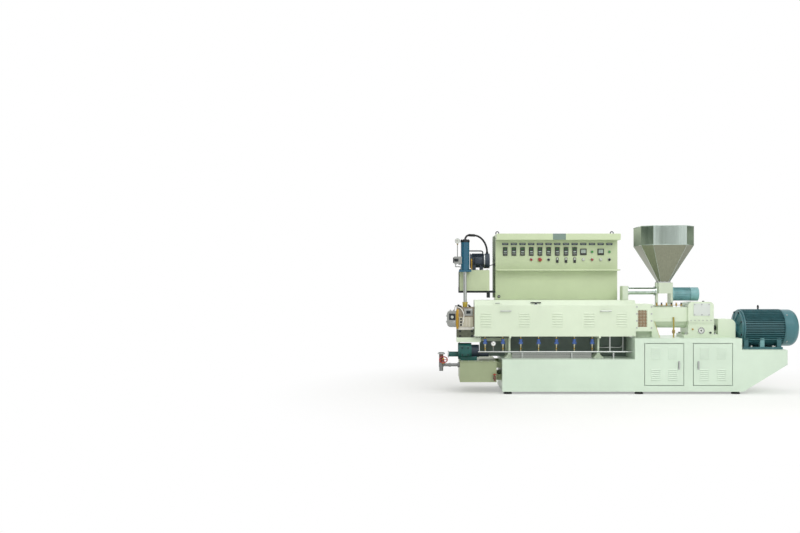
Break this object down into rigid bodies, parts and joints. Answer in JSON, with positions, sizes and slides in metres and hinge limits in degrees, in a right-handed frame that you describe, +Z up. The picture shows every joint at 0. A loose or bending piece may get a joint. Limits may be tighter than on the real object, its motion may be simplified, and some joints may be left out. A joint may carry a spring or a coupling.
{
  "type": "plastic extruder",
  "caption": "Horizontal plastic extruder with louvred barrel cover, gearbox, finned motor, pellet hopper, control console and hydraulic screen changer on a doored steel base.",
  "frame": {"origin": "on the floor under the middle of the machine's box", "axes": "+X from the die end to the motor end, +Y from the operator's front to the back, +Z up"},
  "size_m": [5.133, 1.03, 2.364],
  "materials": {
    "bed_paint": "pale mint enamel",
    "cover_paint": "pale cream green enamel",
    "console_paint": "yellow green enamel",
    "motor_paint": "dark teal machine paint",
    "gearmotor_paint": "teal machine paint",
    "pump_paint": "navy machine paint",
    "cylinder_paint": "blue machine paint",
    "stainless": "polished stainless sheet",
    "machined_steel": "machined steel",
    "dark_steel": "black oxide steel",
    "brass": "brass fittings and yellow painted pipe",
    "coil_blue": "blue moulded coil",
    "wheel_red": "red handwheel enamel",
    "rubber": "black rubber",
    "instrument_black": "black instrument plastic",
    "mesh_brown": "brown woven mesh"
  },
  "bodies": {
    "frame": {"low_bed": "bed_paint", "drive_sill": "bed_paint", "drive_header": "bed_paint", "drive_jambs": "bed_paint", "drive_rear_wall": "bed_paint", "drive_bulkheads": "bed_paint", "drive_floor": "bed_paint", "drive_deck": "bed_paint", "motor_pedestal": "bed_paint", "cover_front": "cover_paint", "cover_shell": "cover_paint", "feed_housing": "cover_paint", "lantern": "cover_paint", "gearbox_lower": "cover_paint", "gearbox_upper": "cover_paint", "coupling_guard": "cover_paint", "feeder_housing": "cover_paint", "feeder_stand": "cover_paint", "feed_chute": "cover_paint", "barrel_supports": "cover_paint", "die_table": "cover_paint", "water_tank": "cover_paint", "cabinet_body": "console_paint", "console_hood": "console_paint", "oil_tank": "console_paint", "motor_body": "motor_paint", "motor_end_bell": "motor_paint", "vacuum_pump": "motor_paint", "fan_cover": "gearmotor_paint", "feeder_gearmotor": "gearmotor_paint", "pump_motor": "pump_paint", "hydraulic_cylinder": "cylinder_paint", "hopper_bin": "stainless", "hopper_cone": "stainless", "screw_tube": "stainless", "barrel": "machined_steel", "drain_tray": "machined_steel", "pressure_gauges": "machined_steel", "sight_glass": "machined_steel", "valve_block": "machined_steel", "changer_body": "machined_steel", "cover_handles": "dark_steel", "drive_shafts": "dark_steel", "lifting_eyes": "dark_steel", "oil_tank_bracket": "dark_steel", "die_head": "dark_steel", "cooling_pipes": "brass", "lantern_pipe": "brass", "water_pipes": "brass", "solenoid_valves": "coil_blue", "levelling_feet": "rubber", "hydraulic_line": "rubber", "panel_controllers": "instrument_black", "push_buttons": "instrument_black", "mesh_window": "mesh_brown"},
    "left_door": {"left_door": "bed_paint"},
    "right_door": {"right_door": "bed_paint"},
    "screen_slide": {"screen_slide": "machined_steel"},
    "inlet_handwheel": {"inlet_handwheel": "wheel_red"},
    "drain_handwheel": {"drain_handwheel": "wheel_red"}
  },
  "joints": [
    {"name": "left_door_hinge", "type": "hinge", "parent": "frame", "child": "left_door", "pos_m": [0.3275, -0.475, 0.417], "axis": [0, 0, -1], "range_deg": [0, 110]},
    {"name": "right_door_hinge", "type": "hinge", "parent": "frame", "child": "right_door", "pos_m": [1.5315, -0.475, 0.417], "axis": [0, 0, 1], "range_deg": [0, 110]},
    {"name": "screen_slide_lift", "type": "slide", "parent": "frame", "child": "screen_slide", "axis": [0, 0, 1], "range_m": [0, 0.16]},
    {"name": "inlet_wheel_turn", "type": "hinge", "parent": "frame", "child": "inlet_handwheel", "pos_m": [-2.5035, -0.285, 0.394], "axis": [0, -0.7071, 0.7071], "range_deg": [0, 720]},
    {"name": "drain_wheel_turn", "type": "hinge", "parent": "frame", "child": "drain_handwheel", "pos_m": [-1.7825, -0.441, 0.272], "axis": [0, 0, 1], "range_deg": [0, 720]}
  ]
}
